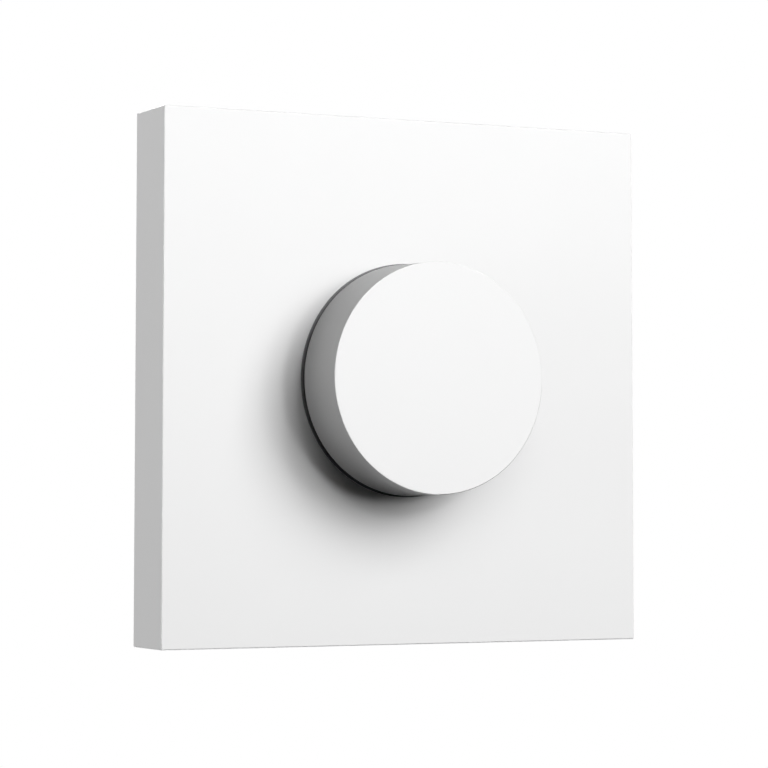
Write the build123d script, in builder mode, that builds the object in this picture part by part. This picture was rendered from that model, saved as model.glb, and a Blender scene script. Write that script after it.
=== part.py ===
from build123d import *
import os
from math import asin, degrees, hypot, sqrt

# A battery-powered rotary light switch: a square wall plate with a knob that turns and presses.
# Millimetres. The origin is the centre of the wall plane behind the plate, the front faces -Y and +Z is up.
# Names that end in _low, _high, _back or _front are heights above the wall.

# Front cover
plate_side = 86.0
plate_front = 12.0
plate_corner_r = 0.25
plate_edge_r = 0.2
wall_gap = 0.3
cover_wall = 1.7
cover_face = 1.7
cover_screw_inset = 7.0
cover_boss_r = 2.6
gusset = 1.0
gusset_step = 1.5
face_rib = 1.0

# Knob and the guide ring inside it
knob_base_r = 18.9
knob_taper = 0.2
knob_rise = 12.0
knob_gap = 1.0
knob_wall = 1.5
knob_top = 2.0
knob_edge_r = 0.12
knob_boss_wall = 2.0
knob_rib = 1.0
knob_rib_count = 6
press_travel = 0.5
ring_wall = 1.4
ring_height = 4.5
ring_lip = 0.2
stake_count = 3
stake_r = 0.9
stake_head_r = 1.5
stake_head = 0.4

# Encoder housing and its metal frame
encoder_side = 12.0
encoder_corner_r = 0.5
housing_skin = 0.6
well_floor_thickness = 0.4
well_r = 2.65
well_depth = 0.7
well_collar_wall = 0.45
flange_height = 1.2
sheet = 0.4
sheet_bend_r = 0.2
frame_width = 10.4
leg_width = 2.1
leg_tail = 1.0

# Encoder shaft, rotor and switch
shaft_r = 3.0
shaft_flat = 1.5
shaft_tip_chamfer = 0.4
shaft_collar_step = 0.4
shaft_collar = 0.55
tongue_r = 1.9
tongue_flat = 1.2
bushing_wall = 0.46
bushing_rise = 3.4
bushing_chamfer = 0.3
rotor_web = 0.6
rotor_hub_wall = 1.0
rotor_hub = 0.15
rotor_track = 0.3
detent_count = 20
detent_depth = 0.25
detent_half_width = 0.4
spring_sheet = 0.15
spring_bar = 0.9
spring_bump_half = 0.3
wiper_sheet = 0.15
finger_count = 3
finger_width = 1.0
finger_length = 1.6
finger_tip = 0.4
plunger_height = 0.5
dome_r = 2.5
dome_sheet = 0.12
pin_width = 0.8
pin_sheet = 0.4
pin_pitch = 2.5
signal_pin_row = 7.5
switch_pin_row = 7.0
pin_tail = 1.0

# Circuit board, radio module and small components
board_side = 66.0
board_corner_r = 2.0
board_thickness = 1.2
board_screw_at = 28.0
board_boss_r = 2.4
radio_width = 13.0
radio_length = 18.0
radio_thickness = 0.8
radio_at = 20.0
shield_width = 11.0
shield_length = 12.0
shield_height = 2.0
shield_sheet = 0.2
shield_shift = -2.0
antenna_sheet = 0.1
antenna_trace = 0.6
antenna_edge = 0.8
antenna_pitch = 1.6
antenna_runs = 7
chip_side = 4.0
chip_height = 0.9
chip_at = 13.0
capacitor_width = 1.6
capacitor_length = 3.2
capacitor_pitch = 5.0
capacitor_count = 4

# Coin cell, its holder and contacts
cell_r = 10.0
cell_height = 3.2
cell_cap_step = 1.2
cell_cap = 0.3
cell_edge_r = 0.3
holder_wall = 1.4
holder_clear = 1.6
holder_gap = 6.0
holder_peg_r = 0.7
contact_room = 0.35
contact_sheet = 0.15
contact_width = 3.0
contact_foot = 2.8
contact_bend_r = 0.3
contact_riser = 0.8
contact_lift = 0.8
contact_flare = 0.5
strap_half = 6.0
strap_flat = 2.5

# Rear cover and battery door
rear_plate = 1.5
screw_seat_plate = 0.6
rear_rib = 1.0
rear_rib_height = 1.0
rear_rib_length = 24.0
rear_rib_clear = 1.5
door_margin = 2.0
door_flange_step = 1.2
door_flange = 0.7
door_lug_step = 0.95
door_lug_width = 5.0
door_lug_height = 0.8
door_lug_wall = 1.1
door_lug_count = 3
door_open_angle = 30.0
door_stop_wall = 1.6
coin_slot_length = 14.0
coin_slot_width = 2.2
coin_slot_depth = 0.8
screw_head_half = 4.6
screw_head_room = 3.2
well_wall = 0.9
well_roof = 0.8

# Wall bracket and adhesive pad
bracket_margin = 6.5
bracket_corner_r = 7.0
bracket_plate = 1.8
screw_inset = 12.85
slot_length = 8.0
slot_half = 2.1
hook_spacing_x = 44.0
hook_spacing_z = 52.0
hook_width = 6.0
hook_post = 1.6
hook_lip = 1.4
hook_lip_height = 1.3
latch_width = 10.0
latch_root = 11.0
latch_reach = 3.0
latch_sheet = 1.0
latch_slit = 1.2
ridge_half = 0.6
ridge_height = 0.9
ridge_width = 8.0
core_wall = 2.5
core_depth = 0.8
core_corner_r = 1.0
pad_side = 44.0
pad_corner_r = 3.0
pad_thickness = 0.8
pad_recess = 0.4

# Thread-forming screws
screw_r = 0.95
screw_head_r = 1.8
cover_screw_head = 0.8
cover_screw_length = 5.5
board_screw_head = 1.2
board_screw_bite = 0.6
recess_span = 1.9
recess_width = 0.45
recess_depth = 0.45

# Clearances
press_on = 0.03
running = 0.04
touch = 0.05
loose = 0.15
side_play = 0.2
free = 0.3

# Heights above the wall: case and battery
bracket_back = pad_thickness - pad_recess
bracket_front = bracket_back + bracket_plate
rear_back = bracket_front + free
rear_front = rear_back + rear_plate
cover_inner = plate_front - cover_face
screw_seat = rear_front - screw_seat_plate
lug_low = rear_front + touch
lug_high = lug_low + door_lug_height
holder_low = lug_high + free
cell_low = rear_front + touch
cell_high = cell_low + cell_height
board_back = cell_high + contact_room
board_front = board_back + board_thickness
board_boss = cover_inner - board_front
radio_back = board_back - radio_thickness
shield_back = radio_back - shield_height
hook_lip_low = rear_front + loose
hook_high = hook_lip_low + hook_lip_height
head_well_high = bracket_front + screw_head_room

# Heights above the wall: encoder, stacked up from the board
dome_rise = press_travel + 2 * touch
well_floor = board_front + well_floor_thickness
cavity_floor = well_floor + well_depth
dome_high = well_floor + dome_rise
plunger_low = dome_high + touch
plunger_high = plunger_low + plunger_height
tongue_low = plunger_high + touch
hub_low = plunger_high + 2 * touch
web_low = hub_low + rotor_hub
web_high = web_low + rotor_web
track_high = web_high + rotor_track
detent_low = track_high - detent_depth
collar_low = web_high + press_travel + 2 * touch
collar_high = collar_low + shaft_collar
housing_high = collar_high + touch
spring_low = housing_high - spring_sheet
flange_high = housing_high + flange_height
bushing_high = flange_high + bushing_rise
pin_low = cavity_floor - pin_sheet

# Heights above the wall: knob
skirt_low = plate_front + knob_gap
knob_face = plate_front + knob_rise
knob_under = knob_face - knob_top
shaft_high = knob_under - free
shaft_flat_low = bushing_high + press_travel
boss_low = shaft_flat_low + free
ring_high = plate_front + ring_height
ring_foot_high = skirt_low - press_travel - side_play
stake_low = cover_inner + stake_head
rib_low = max(ring_high + press_travel + 2 * free, boss_low)

# Radii and spacings that follow from the sizes above
inner_side = plate_side - 2 * cover_wall
rear_side = inner_side - 2 * side_play
cover_screw_at = plate_side / 2 - cover_screw_inset
bracket_side = plate_side - 2 * bracket_margin
screw_spacing = plate_side - 2 * screw_inset
board_screw_length = board_thickness + board_boss + board_screw_bite
encoder_half = encoder_side / 2
encoder_hole_r = hypot(encoder_half, encoder_half) + 2 * free
cavity_r = encoder_half - housing_skin
bore_r = shaft_r + running
bushing_r = bore_r + bushing_wall
shaft_collar_r = shaft_r + shaft_collar_step
rotor_r = cavity_r - free - side_play
rotor_bore_r = tongue_r + running
rotor_hub_r = tongue_r + rotor_hub_wall
track_inner_r = shaft_collar_r + loose
track_mid_r = (track_inner_r + rotor_r) / 2
spring_half = track_mid_r + spring_bar / 2
spring_bow_half = sqrt(cavity_r**2 - spring_half**2) - free
well_collar_r = well_r + well_collar_wall
pin_inner = well_collar_r + free
pin_hole_r = hypot(pin_width / 2, pin_sheet / 2) + 2 * touch
knob_bore_r = shaft_r + press_on
knob_bore_flat = shaft_flat + press_on
knob_boss_r = knob_bore_r + knob_boss_wall
knob_face_r = knob_base_r - knob_taper
skirt_inner_r = knob_face_r - knob_wall
ring_outer_r = skirt_inner_r - free
ring_inner_r = ring_outer_r - ring_wall
ring_foot_r = knob_base_r + ring_lip
stake_at = (ring_outer_r + ring_inner_r) / 2
cell_cap_r = cell_r - cell_cap_step
holder_inner_r = cell_r + free
holder_outer_r = holder_inner_r + holder_wall
holder_mid_r = (holder_inner_r + holder_outer_r) / 2
cell_at = -(signal_pin_row + pin_sheet / 2 + holder_clear + holder_outer_r)
door_plug_r = cell_r + door_margin
door_hole_r = door_plug_r + loose
door_flange_r = door_plug_r + door_flange_step
door_seat_r = door_flange_r + loose
door_lug_r = door_plug_r + door_lug_step
door_stop_r = door_lug_r + door_stop_wall
pilot_r = screw_r + touch
screw_hole_r = screw_r + side_play
head_well_length = slot_length + 2 * (screw_head_half - slot_half)
ridge_at = (bracket_side + latch_reach) / 2
signal_pins = (-pin_pitch, 0, pin_pitch)
switch_pins = (-pin_pitch, pin_pitch)
corners = [(-1, -1), (-1, 1), (1, -1), (1, 1)]

# Sections at right angles to the wall: local y is the height above it, local x runs along X, or along Z
section_x = Plane(origin=(0, 0, 0), x_dir=(1, 0, 0), z_dir=(0, 0, -1))
section_z = Plane(origin=(0, 0, 0), x_dir=(0, 0, 1), z_dir=(1, 0, 0))
cell_section = section_x.offset(-cell_at)
cell_axis = Axis((0, 0, cell_at), (0, 1, 0))


def level(height):
    """Plane parallel to the wall at a height, facing the front, with local y along Z."""
    return Plane.XZ.offset(height)


def cell_level(height):
    """Plane like level, centred on the coin cell."""
    return Plane(origin=(0, -height, cell_at), x_dir=(1, 0, 0), z_dir=(0, -1, 0))


def d_section(radius, flat):
    """Round section with one flat on its upper side, drawn in the sketch that calls it."""
    Circle(radius)
    with Locations((0, flat + radius)):
        Rectangle(2 * radius, 2 * radius, mode=Mode.SUBTRACT)


def skirt_r(height):
    """Outside radius of the tapered knob at a height."""
    share = (height - skirt_low) / (knob_face - skirt_low)
    return knob_base_r + share * (knob_face_r - knob_base_r)


os.makedirs("parts", exist_ok=True)

# Front cover: a shell open at the back, with bosses for the board and for the rear cover
with BuildPart() as front_cover:
    with BuildSketch(level(wall_gap)):
        RectangleRounded(plate_side, plate_side, plate_corner_r)
    extrude(amount=plate_front - wall_gap)
    fillet(front_cover.faces().sort_by(Axis.Y)[0].edges(), radius=plate_edge_r)
    with BuildSketch(level(wall_gap)):
        Rectangle(inner_side, inner_side)
    extrude(amount=cover_inner - wall_gap, mode=Mode.SUBTRACT)
    gusset_length = inner_side / 2 - cover_screw_at
    gusset_mid = cover_screw_at + gusset_length / 2
    with BuildSketch(level(rear_front + gusset_step)):
        for side_x, side_z in corners:
            with Locations((side_x * gusset_mid, side_z * cover_screw_at)):
                Rectangle(gusset_length, gusset)
            with Locations((side_x * cover_screw_at, side_z * gusset_mid)):
                Rectangle(gusset, gusset_length)
    extrude(amount=cover_inner - rear_front - gusset_step)
    with BuildSketch(level(rear_front)):
        with GridLocations(2 * cover_screw_at, 2 * cover_screw_at, 2, 2):
            Circle(cover_boss_r)
    extrude(amount=cover_inner - rear_front)
    with BuildSketch(level(board_front)):
        with GridLocations(2 * board_screw_at, 2 * board_screw_at, 2, 2):
            Circle(board_boss_r)
    extrude(amount=board_boss)
    # Low ribs from a collar round the encoder's hole to the board's bosses
    face_rib_height = board_boss / 2
    face_rib_length = hypot(board_screw_at, board_screw_at) - encoder_hole_r
    with BuildSketch(level(cover_inner - face_rib_height)):
        Circle(encoder_hole_r + face_rib)
        with PolarLocations(encoder_hole_r + face_rib_length / 2, 4, start_angle=45):
            Rectangle(face_rib_length, face_rib)
        Circle(encoder_hole_r, mode=Mode.SUBTRACT)
    extrude(amount=face_rib_height)
    with BuildSketch(level(rear_front)):
        with GridLocations(2 * cover_screw_at, 2 * cover_screw_at, 2, 2):
            Circle(pilot_r)
    extrude(amount=cover_screw_length, mode=Mode.SUBTRACT)
    with BuildSketch(level(board_front)):
        with GridLocations(2 * board_screw_at, 2 * board_screw_at, 2, 2):
            Circle(pilot_r)
    extrude(amount=board_screw_length - board_thickness + side_play, mode=Mode.SUBTRACT)
    with BuildSketch(level(cover_inner)):
        Circle(encoder_hole_r)
        with PolarLocations(stake_at, stake_count, start_angle=90):
            Circle(stake_r + touch)
    extrude(amount=cover_face, mode=Mode.SUBTRACT)
    with BuildSketch(level(cover_inner)):
        with PolarLocations(stake_at, stake_count, start_angle=90):
            Circle(stake_head_r + touch)
    extrude(amount=stake_head, mode=Mode.SUBTRACT)
front_cover.part.label = "front_cover"
export_step(front_cover.part, "parts/front_cover.step")

# Knob: a tapered cup with a D-bored boss and ribs under its face
with BuildPart() as knob:
    with BuildSketch(section_x) as knob_outline:
        with BuildLine():
            Polyline(
                (0, knob_under),
                (skirt_r(knob_under) - knob_wall, knob_under),
                (knob_base_r - knob_wall, skirt_low),
                (knob_base_r, skirt_low),
                (knob_face_r, knob_face),
                (0, knob_face),
                close=True,
            )
        make_face()
        rim = knob_outline.vertices().sort_by_distance((knob_face_r, knob_face, 0))[0]
        fillet(rim, radius=knob_edge_r)
    revolve(axis=Axis.Y)
    with BuildSketch(level(rib_low)):
        rib_length = skirt_inner_r - knob_bore_r
        with PolarLocations(knob_bore_r + rib_length / 2, knob_rib_count):
            Rectangle(rib_length, knob_rib)
    extrude(amount=knob_under - rib_low)
    with BuildSketch(level(boss_low)):
        Circle(knob_boss_r)
    extrude(amount=knob_under - boss_low)
    with BuildSketch(level(boss_low)):
        d_section(knob_bore_r, knob_bore_flat)
    extrude(amount=knob_under - boss_low, mode=Mode.SUBTRACT)
knob.part.label = "knob"
export_step(knob.part, "parts/knob.step")

# Guide ring: a dark collar that the knob's skirt runs round, with stakes sunk into the front cover
with BuildPart() as guide_ring:
    with BuildSketch(section_x):
        with BuildLine():
            Polyline(
                (ring_inner_r, plate_front),
                (ring_foot_r, plate_front),
                (ring_foot_r, ring_foot_high),
                (ring_outer_r, ring_foot_high),
                (ring_outer_r, ring_high),
                (ring_inner_r, ring_high),
                close=True,
            )
        make_face()
    revolve(axis=Axis.Y)
    with BuildSketch(level(stake_low)):
        with PolarLocations(stake_at, stake_count, start_angle=90):
            Circle(stake_r)
    extrude(amount=plate_front - stake_low)
    with BuildSketch(level(cover_inner)):
        with PolarLocations(stake_at, stake_count, start_angle=90):
            Circle(stake_head_r)
    extrude(amount=stake_head)
guide_ring.part.label = "guide_ring"
export_step(guide_ring.part, "parts/guide_ring.step")

# Encoder housing: an open box with a well for the switch dome and slots for the moulded-in pins
with BuildPart() as encoder_housing:
    with BuildSketch(level(board_front)):
        RectangleRounded(encoder_side, encoder_side, encoder_corner_r)
    extrude(amount=housing_high - board_front)
    with BuildSketch(level(cavity_floor)):
        Circle(cavity_r)
    extrude(amount=housing_high - cavity_floor, mode=Mode.SUBTRACT)
    with BuildSketch(level(spring_low)):
        Rectangle(2 * (spring_half + touch), 2 * (spring_half + touch))
    extrude(amount=spring_sheet, mode=Mode.SUBTRACT)
    with BuildSketch(level(cavity_floor)):
        Circle(well_collar_r)
    extrude(amount=plunger_high - cavity_floor)
    with BuildSketch(level(well_floor)):
        Circle(well_r)
    extrude(amount=plunger_high - well_floor, mode=Mode.SUBTRACT)
    slot_reach = encoder_half - pin_inner
    slot_mid = (encoder_half + pin_inner) / 2
    with BuildSketch(level(pin_low)):
        for place in signal_pins:
            with Locations((place, -slot_mid)):
                Rectangle(pin_width, slot_reach)
        for place in switch_pins:
            with Locations((place, slot_mid)):
                Rectangle(pin_width, slot_reach)
    extrude(amount=pin_sheet, mode=Mode.SUBTRACT)
encoder_housing.part.label = "encoder_housing"
export_step(encoder_housing.part, "parts/encoder_housing.step")

# Encoder pins: three for the turning signal and two for the switch, bent down through the board
with BuildPart() as encoder_pins:
    for side, row, places in ((-1, signal_pin_row, signal_pins), (1, switch_pin_row, switch_pins)):
        for place in places:
            with BuildSketch(section_z.offset(place)):
                with BuildLine():
                    Polyline(
                        (side * pin_inner, pin_low),
                        (side * pin_inner, cavity_floor),
                        (side * (row + pin_sheet / 2), cavity_floor),
                        (side * (row + pin_sheet / 2), board_back - pin_tail),
                        (side * (row - pin_sheet / 2), board_back - pin_tail),
                        (side * (row - pin_sheet / 2), pin_low),
                        close=True,
                    )
                make_face()
            extrude(amount=pin_width / 2, both=True)
encoder_pins.part.label = "encoder_pins"
export_step(encoder_pins.part, "parts/encoder_pins.step")

# Encoder bushing: a cast flange that closes the housing, with the shaft's bearing
with BuildPart() as encoder_bushing:
    flange_side = encoder_side - 2 * (sheet_bend_r + touch)
    with BuildSketch(level(housing_high)):
        RectangleRounded(flange_side, flange_side, encoder_corner_r)
    extrude(amount=flange_height)
    with BuildSketch(level(flange_high)):
        Circle(bushing_r)
    extrude(amount=bushing_rise)
    chamfer(encoder_bushing.faces().sort_by(Axis.Y)[0].edges(), length=bushing_chamfer)
    with BuildSketch(level(housing_high)):
        Circle(bore_r)
    extrude(amount=bushing_high - housing_high, mode=Mode.SUBTRACT)
encoder_bushing.part.label = "encoder_bushing"
export_step(encoder_bushing.part, "parts/encoder_bushing.step")

# Encoder frame: folded sheet over the flange, with cheeks down the sides and legs through the board
with BuildPart() as encoder_frame:
    cheek_at = encoder_half + sheet / 2
    crown_at = flange_high + sheet / 2
    leg_low = board_back - leg_tail
    with BuildSketch(section_x):
        with BuildLine():
            FilletPolyline(
                (-cheek_at, board_front),
                (-cheek_at, crown_at),
                (cheek_at, crown_at),
                (cheek_at, board_front),
                radius=sheet_bend_r + sheet / 2,
            )
        trace(line_width=sheet)
    extrude(amount=frame_width / 2, both=True)
    with BuildSketch(level(flange_high)):
        Circle(bushing_r + loose)
    extrude(amount=sheet, mode=Mode.SUBTRACT)
    with BuildSketch(level(leg_low)):
        with GridLocations(2 * cheek_at, 0, 2, 1):
            Rectangle(sheet, leg_width)
    extrude(amount=board_front - leg_low)
encoder_frame.part.label = "encoder_frame"
export_step(encoder_frame.part, "parts/encoder_frame.step")

# Encoder shaft: round in the bushing, with a D flat for the knob and a D tongue for the rotor
with BuildPart() as encoder_shaft:
    with BuildSketch(level(tongue_low)):
        d_section(tongue_r, tongue_flat)
    extrude(amount=collar_low - tongue_low)
    with BuildSketch(level(collar_low)):
        Circle(shaft_collar_r)
    extrude(amount=shaft_collar)
    with BuildSketch(level(collar_high)):
        Circle(shaft_r)
    extrude(amount=shaft_high - collar_high)
    chamfer(encoder_shaft.faces().sort_by(Axis.Y)[0].edges(), length=shaft_tip_chamfer)
    with BuildSketch(level(shaft_flat_low)):
        with Locations((0, shaft_flat + shaft_r)):
            Rectangle(2 * shaft_r, 2 * shaft_r)
    extrude(amount=shaft_high - shaft_flat_low, mode=Mode.SUBTRACT)
encoder_shaft.part.label = "encoder_shaft"
export_step(encoder_shaft.part, "parts/encoder_shaft.step")

# Encoder rotor: turns with the shaft, which slides through it, and carries the detent grooves
with BuildPart() as encoder_rotor:
    with BuildSketch(level(hub_low)):
        Circle(rotor_hub_r)
    extrude(amount=rotor_hub)
    with BuildSketch(level(web_low)):
        Circle(rotor_r)
    extrude(amount=rotor_web)
    with BuildSketch(level(web_high)):
        Circle(rotor_r)
        Circle(track_inner_r, mode=Mode.SUBTRACT)
    extrude(amount=rotor_track)
    with BuildSketch(level(hub_low)):
        d_section(rotor_bore_r, tongue_flat + running)
    extrude(amount=web_high - hub_low, mode=Mode.SUBTRACT)
    for step in range(detent_count):
        groove = section_x.rotated((0, 360 / detent_count * step, 0))
        with BuildSketch(groove.offset(track_inner_r - free)):
            with BuildLine():
                Polyline(
                    (-detent_half_width, track_high),
                    (0, detent_low),
                    (detent_half_width, track_high),
                    close=True,
                )
            make_face()
        extrude(amount=rotor_r - track_inner_r + 2 * free, mode=Mode.SUBTRACT)
encoder_rotor.part.label = "encoder_rotor"
export_step(encoder_rotor.part, "parts/encoder_rotor.step")

# Encoder wiper: a sprung contact ring under the rotor, with fingers that run on the floor
with BuildPart() as encoder_wiper:
    finger_low = cavity_floor + touch
    finger_r = (rotor_hub_r + rotor_r) / 2
    with BuildSketch(level(web_low - wiper_sheet)):
        Circle(finger_r + finger_width / 2)
        Circle(finger_r - finger_width / 2, mode=Mode.SUBTRACT)
    extrude(amount=wiper_sheet)
    for step in range(finger_count):
        with BuildSketch(section_x.rotated((0, 360 / finger_count * step, 0)).offset(finger_r)):
            with BuildLine():
                Polyline(
                    (0, web_low - wiper_sheet),
                    (finger_length, finger_low),
                    (finger_length + finger_tip, finger_low),
                    (finger_length + finger_tip, finger_low + wiper_sheet),
                    (finger_length, finger_low + wiper_sheet),
                    (0, web_low),
                    close=True,
                )
            make_face()
        extrude(amount=finger_width / 2, both=True)
encoder_wiper.part.label = "encoder_wiper"
export_step(encoder_wiper.part, "parts/encoder_wiper.step")

# Detent spring: a flat frame whose two bowed bars each press a ridge into the rotor's grooves
with BuildPart() as detent_spring:
    bow = [
        (-spring_half, spring_low),
        (-spring_bow_half, spring_low),
        (-spring_bump_half, track_high + touch),
        (0, detent_low + touch),
        (spring_bump_half, track_high + touch),
        (spring_bow_half, spring_low),
        (spring_half, spring_low),
    ]
    raised = [(along, height + spring_sheet) for along, height in reversed(bow)]
    for side in (-1, 1):
        with BuildSketch(section_x.offset(side * track_mid_r)):
            with BuildLine():
                Polyline(*bow, *raised, close=True)
            make_face()
        extrude(amount=spring_bar / 2, both=True)
    with BuildSketch(level(spring_low)):
        with GridLocations(2 * track_mid_r, 0, 2, 1):
            Rectangle(spring_bar, 2 * spring_half)
    extrude(amount=spring_sheet)
detent_spring.part.label = "detent_spring"
export_step(detent_spring.part, "parts/detent_spring.step")

# Push plunger: the disc between the shaft's tongue and the switch dome
with BuildPart() as push_plunger:
    with BuildSketch(level(plunger_low)):
        Circle(well_r - running)
    extrude(amount=plunger_height)
push_plunger.part.label = "push_plunger"
export_step(push_plunger.part, "parts/push_plunger.step")

# Switch dome: a thin sprung cap on the floor of the well
with BuildPart() as switch_dome:
    with BuildSketch(section_x):
        with BuildLine():
            outer = ThreePointArc(
                (-dome_r, well_floor + dome_sheet), (0, dome_high), (dome_r, well_floor + dome_sheet)
            )
            Line(outer @ 1, (dome_r, well_floor))
            inner = ThreePointArc((dome_r, well_floor), (0, dome_high - dome_sheet), (-dome_r, well_floor))
            Line(inner @ 1, outer @ 0)
        make_face()
        with Locations((-dome_r, well_floor)):
            Rectangle(2 * dome_r, 4 * dome_rise, mode=Mode.SUBTRACT)
    revolve(axis=Axis.Y)
switch_dome.part.label = "switch_dome"
export_step(switch_dome.part, "parts/switch_dome.step")

# Circuit board: cut clear of the cover's bosses, and drilled for screws, pins, legs and pegs
with BuildPart() as circuit_board:
    with BuildSketch(level(board_back)):
        RectangleRounded(board_side, board_side, board_corner_r)
        with GridLocations(2 * cover_screw_at, 2 * cover_screw_at, 2, 2):
            Circle(cover_boss_r + free, mode=Mode.SUBTRACT)
        with GridLocations(2 * board_screw_at, 2 * board_screw_at, 2, 2):
            Circle(screw_hole_r, mode=Mode.SUBTRACT)
        with GridLocations(2 * (encoder_half + sheet / 2), 0, 2, 1):
            Rectangle(sheet + 2 * loose, leg_width + 2 * loose, mode=Mode.SUBTRACT)
        with Locations(*[(place, -signal_pin_row) for place in signal_pins]):
            Circle(pin_hole_r, mode=Mode.SUBTRACT)
        with Locations(*[(place, switch_pin_row) for place in switch_pins]):
            Circle(pin_hole_r, mode=Mode.SUBTRACT)
        with Locations((0, cell_at)):
            with PolarLocations(holder_mid_r, 2, start_angle=45):
                Circle(holder_peg_r + touch, mode=Mode.SUBTRACT)
    extrude(amount=board_thickness)
circuit_board.part.label = "circuit_board"
export_step(circuit_board.part, "parts/circuit_board.step")

# Radio module: a small board of its own under a folded shield
with BuildPart() as radio_board:
    with BuildSketch(level(radio_back)):
        with Locations((0, radio_at)):
            Rectangle(radio_width, radio_length)
    extrude(amount=radio_thickness)
radio_board.part.label = "radio_board"
export_step(radio_board.part, "parts/radio_board.step")

with BuildPart() as radio_shield:
    with BuildSketch(level(shield_back)):
        with Locations((0, radio_at + shield_shift)):
            Rectangle(shield_width, shield_length)
    extrude(amount=shield_height)
    with BuildSketch(level(shield_back + shield_sheet)):
        with Locations((0, radio_at + shield_shift)):
            Rectangle(shield_width - 2 * shield_sheet, shield_length - 2 * shield_sheet)
    extrude(amount=shield_height - shield_sheet, mode=Mode.SUBTRACT)
radio_shield.part.label = "radio_shield"
export_step(radio_shield.part, "parts/radio_shield.step")

# Antenna: a copper trace that winds along the free end of the radio board
with BuildPart() as radio_antenna:
    antenna_low = radio_at + shield_shift + shield_length / 2 + antenna_edge
    antenna_high = radio_at + radio_length / 2 - antenna_edge
    turns = []
    for step in range(antenna_runs):
        along = (step - (antenna_runs - 1) / 2) * antenna_pitch
        ends = [(along, antenna_low), (along, antenna_high)]
        turns += ends if step % 2 == 0 else reversed(ends)
    with BuildSketch(level(radio_back - antenna_sheet)):
        with BuildLine():
            Polyline(*turns)
        trace(line_width=antenna_trace)
    extrude(amount=antenna_sheet)
radio_antenna.part.label = "radio_antenna"
export_step(radio_antenna.part, "parts/radio_antenna.step")

# Small components on the back of the board: a power chip and a column of capacitors
with BuildPart() as board_components:
    with BuildSketch(level(board_back - chip_height)):
        with Locations((-chip_at, radio_at)):
            Rectangle(chip_side, chip_side)
        with Locations((chip_at, radio_at)):
            with GridLocations(0, capacitor_pitch, 1, capacitor_count):
                Rectangle(capacitor_length, capacitor_width)
    extrude(amount=chip_height)
board_components.part.label = "board_components"
export_step(board_components.part, "parts/board_components.step")

# Battery holder: an open ring pegged to the board
with BuildPart() as battery_holder:
    with BuildSketch(cell_level(holder_low)):
        Circle(holder_outer_r)
        Circle(holder_inner_r, mode=Mode.SUBTRACT)
        with Locations((-holder_mid_r, 0)):
            Rectangle(2 * holder_wall, holder_gap, mode=Mode.SUBTRACT)
    extrude(amount=board_back - holder_low)
    with BuildSketch(cell_level(board_back)):
        with PolarLocations(holder_mid_r, 2, start_angle=45):
            Circle(holder_peg_r)
    extrude(amount=board_thickness)
battery_holder.part.label = "battery_holder"
export_step(battery_holder.part, "parts/battery_holder.step")

# Coin cell: a sealed can with its smaller cap towards the board
with BuildPart() as coin_cell:
    can_high = cell_high - cell_cap
    with BuildSketch(cell_section) as cell_outline:
        with BuildLine():
            Polyline(
                (0, cell_low),
                (cell_r, cell_low),
                (cell_r, can_high),
                (cell_cap_r, can_high),
                (cell_cap_r, cell_high),
                (0, cell_high),
                close=True,
            )
        make_face()
        rims = cell_outline.vertices().group_by(Axis.X)[-1]
        fillet(rims, radius=cell_edge_r)
    revolve(axis=cell_axis)
coin_cell.part.label = "coin_cell"
export_step(coin_cell.part, "parts/coin_cell.step")

# Positive contact: a bent strip whose finger presses on the side of the cell
with BuildPart() as positive_contact:
    foot_line = board_back - contact_sheet / 2
    finger_touch_r = cell_r + touch + contact_sheet / 2
    with BuildSketch(cell_section):
        with BuildLine():
            FilletPolyline(
                (-(holder_outer_r + contact_foot), foot_line),
                (-holder_mid_r, foot_line),
                (-holder_mid_r, foot_line - contact_riser),
                (-finger_touch_r, holder_low + contact_lift),
                (-(finger_touch_r + contact_flare), holder_low),
                radius=contact_bend_r,
            )
        trace(line_width=contact_sheet)
    extrude(amount=contact_width / 2, both=True)
positive_contact.part.label = "positive_contact"
export_step(positive_contact.part, "parts/positive_contact.step")

# Negative contact: a bowed strap between the board and the cell's cap
with BuildPart() as negative_contact:
    strap_line = board_back - contact_sheet / 2
    strap_touch = cell_high + touch + contact_sheet / 2
    with BuildSketch(cell_section):
        with BuildLine():
            FilletPolyline(
                (-strap_half, strap_line),
                (strap_flat - strap_half, strap_line),
                (0, strap_touch),
                (strap_half - strap_flat, strap_line),
                (strap_half, strap_line),
                radius=contact_bend_r,
            )
        trace(line_width=contact_sheet)
    extrude(amount=contact_width / 2, both=True)
negative_contact.part.label = "negative_contact"
export_step(negative_contact.part, "parts/negative_contact.step")

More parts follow.
